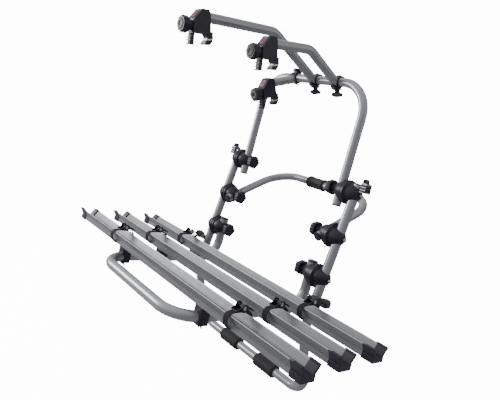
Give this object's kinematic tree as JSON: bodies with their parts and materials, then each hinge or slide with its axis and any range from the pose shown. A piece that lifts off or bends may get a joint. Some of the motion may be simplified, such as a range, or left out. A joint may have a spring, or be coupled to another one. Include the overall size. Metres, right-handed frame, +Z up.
{
  "type": "rear bike carrier",
  "caption": "Folding rear-mounted bicycle carrier of bent tubes with wheel rails, strap levers and swinging frame-holder arms.",
  "frame": {"origin": "middle of the lower cross bar's axis, between the two soft sleeves that rest on the tailgate", "axes": "+X along the wheel rails to the right as seen from behind the vehicle, +Y towards the vehicle, +Z up"},
  "size_m": [1.369, 0.8516, 1.2408],
  "materials": {
    "silver_tube": "satin silver powder coat",
    "rail_alloy": "satin extruded aluminium",
    "black_plastic": "moulded, satin black",
    "knob_plastic": "moulded, matte black",
    "sleeve_foam": "matte black foam",
    "zinc_steel": "bright zinc plate",
    "webbing": "woven black webbing"
  },
  "bodies": {
    "carrier_frame": {"main_frame": "silver_tube", "main_frame_plugs": "black_plastic", "lower_sleeves": "sleeve_foam", "frame_discs": "black_plastic", "pivot_bolts": "zinc_steel", "pivot_nuts": "zinc_steel", "belt_brackets": "zinc_steel", "belt_rolls": "webbing"},
    "hoop": {"upper_hoop": "silver_tube", "hoop_plugs": "black_plastic", "hoop_discs": "black_plastic"},
    "mid": {"mid_hoop": "silver_tube", "mid_plugs": "black_plastic", "mid_discs": "black_plastic", "mid_sleeve": "sleeve_foam"},
    "platform": {"platform_frame": "silver_tube", "platform_plugs": "black_plastic", "platform_discs": "black_plastic", "rail_1": "rail_alloy", "rail_2": "rail_alloy", "rail_3": "rail_alloy", "rail_end_caps": "black_plastic", "rail_blocks": "black_plastic", "rail_bolts": "zinc_steel", "rail_wing_nuts": "zinc_steel", "strap_bands": "webbing", "strap_buckles": "black_plastic"},
    "hoop_knob_left": {"hoop_knob_left": "knob_plastic"},
    "hoop_knob_right": {"hoop_knob_right": "knob_plastic"},
    "mid_knob_left": {"mid_knob_left": "knob_plastic"},
    "mid_knob_right": {"mid_knob_right": "knob_plastic"},
    "platform_knob_left": {"platform_knob_left": "knob_plastic"},
    "platform_knob_right": {"platform_knob_right": "knob_plastic"},
    "strap_lever_1_left": {"strap_lever_1_left": "black_plastic"},
    "strap_lever_1_right": {"strap_lever_1_right": "black_plastic"},
    "strap_lever_2_left": {"strap_lever_2_left": "black_plastic"},
    "strap_lever_2_right": {"strap_lever_2_right": "black_plastic"},
    "strap_lever_3_left": {"strap_lever_3_left": "black_plastic"},
    "strap_lever_3_right": {"strap_lever_3_right": "black_plastic"},
    "arm_1": {"arm_1": "silver_tube", "arm_clamp_1": "black_plastic", "holder_1": "black_plastic"},
    "clamp_knob_1": {"clamp_knob_1": "knob_plastic"},
    "holder_knob_1": {"holder_knob_1": "knob_plastic"},
    "holder_jaw_1": {"holder_jaw_1": "black_plastic"},
    "arm_2": {"arm_2": "silver_tube", "arm_clamp_2": "black_plastic", "holder_2": "black_plastic"},
    "clamp_knob_2": {"clamp_knob_2": "knob_plastic"},
    "holder_knob_2": {"holder_knob_2": "knob_plastic"},
    "holder_jaw_2": {"holder_jaw_2": "black_plastic"},
    "arm_3": {"arm_3": "silver_tube", "arm_clamp_3": "black_plastic", "holder_3": "black_plastic"},
    "clamp_knob_3": {"clamp_knob_3": "knob_plastic"},
    "holder_knob_3": {"holder_knob_3": "knob_plastic"},
    "holder_jaw_3": {"holder_jaw_3": "black_plastic"}
  },
  "joints": [
    {"name": "hoop_fold", "type": "hinge", "parent": "carrier_frame", "child": "hoop", "pos_m": [0, -0.04117, 0.742], "axis": [1, 0, 0], "range_deg": [-40, 0]},
    {"name": "mid_fold", "type": "hinge", "parent": "carrier_frame", "child": "mid", "pos_m": [0, -0.06081, 0.587], "axis": [1, 0, 0], "range_deg": [-50, 10]},
    {"name": "platform_fold", "type": "hinge", "parent": "carrier_frame", "child": "platform", "pos_m": [0, -0.07918, 0.442], "axis": [1, 0, 0], "range_deg": [-90, 0]},
    {"name": "hoop_knob_left_turn", "type": "hinge", "parent": "carrier_frame", "child": "hoop_knob_left", "pos_m": [0, -0.04117, 0.742], "axis": [1, 0, 0], "continuous": true},
    {"name": "hoop_knob_right_turn", "type": "hinge", "parent": "carrier_frame", "child": "hoop_knob_right", "pos_m": [0, -0.04117, 0.742], "axis": [1, 0, 0], "continuous": true},
    {"name": "mid_knob_left_turn", "type": "hinge", "parent": "carrier_frame", "child": "mid_knob_left", "pos_m": [0, -0.06081, 0.587], "axis": [1, 0, 0], "continuous": true},
    {"name": "mid_knob_right_turn", "type": "hinge", "parent": "carrier_frame", "child": "mid_knob_right", "pos_m": [0, -0.06081, 0.587], "axis": [1, 0, 0], "continuous": true},
    {"name": "platform_knob_left_turn", "type": "hinge", "parent": "carrier_frame", "child": "platform_knob_left", "pos_m": [0, -0.07918, 0.442], "axis": [1, 0, 0], "continuous": true},
    {"name": "platform_knob_right_turn", "type": "hinge", "parent": "carrier_frame", "child": "platform_knob_right", "pos_m": [0, -0.07918, 0.442], "axis": [1, 0, 0], "continuous": true},
    {"name": "strap_lever_1_left_swing", "type": "hinge", "parent": "platform", "child": "strap_lever_1_left", "pos_m": [-0.319, -0.494, 0.3911], "axis": [1, 0, 0], "range_deg": [0, 95]},
    {"name": "strap_lever_1_right_swing", "type": "hinge", "parent": "platform", "child": "strap_lever_1_right", "pos_m": [0.409, -0.494, 0.3911], "axis": [1, 0, 0], "range_deg": [0, 95]},
    {"name": "strap_lever_2_left_swing", "type": "hinge", "parent": "platform", "child": "strap_lever_2_left", "pos_m": [-0.335, -0.337, 0.3911], "axis": [1, 0, 0], "range_deg": [0, 95]},
    {"name": "strap_lever_2_right_swing", "type": "hinge", "parent": "platform", "child": "strap_lever_2_right", "pos_m": [0.393, -0.337, 0.3911], "axis": [1, 0, 0], "range_deg": [0, 95]},
    {"name": "strap_lever_3_left_swing", "type": "hinge", "parent": "platform", "child": "strap_lever_3_left", "pos_m": [-0.344, -0.18, 0.3911], "axis": [1, 0, 0], "range_deg": [0, 95]},
    {"name": "strap_lever_3_right_swing", "type": "hinge", "parent": "platform", "child": "strap_lever_3_right", "pos_m": [0.384, -0.18, 0.3911], "axis": [1, 0, 0], "range_deg": [0, 95]},
    {"name": "arm_1_tilt", "type": "hinge", "parent": "hoop", "child": "arm_1", "pos_m": [-0.104, -0.038, 1.107], "axis": [1, 0, 0], "range_deg": [-50, 5]},
    {"name": "clamp_knob_1_turn", "type": "hinge", "parent": "arm_1", "child": "clamp_knob_1", "pos_m": [-0.104, -0.038, 1.107], "axis": [0, 0, 1], "continuous": true},
    {"name": "holder_knob_1_turn", "type": "hinge", "parent": "arm_1", "child": "holder_knob_1", "pos_m": [-0.104, -0.14085, 1.02548], "axis": [0, -0.92, -0.392], "range_deg": [0, 900]},
    {"name": "holder_jaw_1_slide", "type": "slide", "parent": "arm_1", "child": "holder_jaw_1", "axis": [0, -0.92, -0.392], "range_m": [0, 0.01]},
    {"name": "arm_2_tilt", "type": "hinge", "parent": "hoop", "child": "arm_2", "pos_m": [0.112, -0.038, 1.107], "axis": [1, 0, 0], "range_deg": [-50, 5]},
    {"name": "clamp_knob_2_turn", "type": "hinge", "parent": "arm_2", "child": "clamp_knob_2", "pos_m": [0.112, -0.038, 1.107], "axis": [0, 0.342, -0.9397], "continuous": true},
    {"name": "holder_knob_2_turn", "type": "hinge", "parent": "arm_2", "child": "holder_knob_2", "pos_m": [0.112, -0.36581, 1.10462], "axis": [0, -0.9799, -0.1996], "range_deg": [0, 900]},
    {"name": "holder_jaw_2_slide", "type": "slide", "parent": "arm_2", "child": "holder_jaw_2", "axis": [0, -0.9799, -0.1996], "range_m": [0, 0.01]},
    {"name": "arm_3_tilt", "type": "hinge", "parent": "hoop", "child": "arm_3", "pos_m": [0.004, -0.038, 1.107], "axis": [1, 0, 0], "range_deg": [-50, 5]},
    {"name": "clamp_knob_3_turn", "type": "hinge", "parent": "arm_3", "child": "clamp_knob_3", "pos_m": [0.004, -0.038, 1.107], "axis": [0, 0.342, -0.9397], "continuous": true},
    {"name": "holder_knob_3_turn", "type": "hinge", "parent": "arm_3", "child": "holder_knob_3", "pos_m": [0.004, -0.5565, 1.12049], "axis": [0, -0.9842, -0.1773], "range_deg": [0, 900]},
    {"name": "holder_jaw_3_slide", "type": "slide", "parent": "arm_3", "child": "holder_jaw_3", "axis": [0, -0.9842, -0.1773], "range_m": [0, 0.01]}
  ],
  "couplings": [
    {"joint": "holder_knob_1_turn", "follows": "holder_jaw_1_slide", "rad_per_m": 1570},
    {"joint": "holder_knob_2_turn", "follows": "holder_jaw_2_slide", "rad_per_m": 1570},
    {"joint": "holder_knob_3_turn", "follows": "holder_jaw_3_slide", "rad_per_m": 1570}
  ]
}
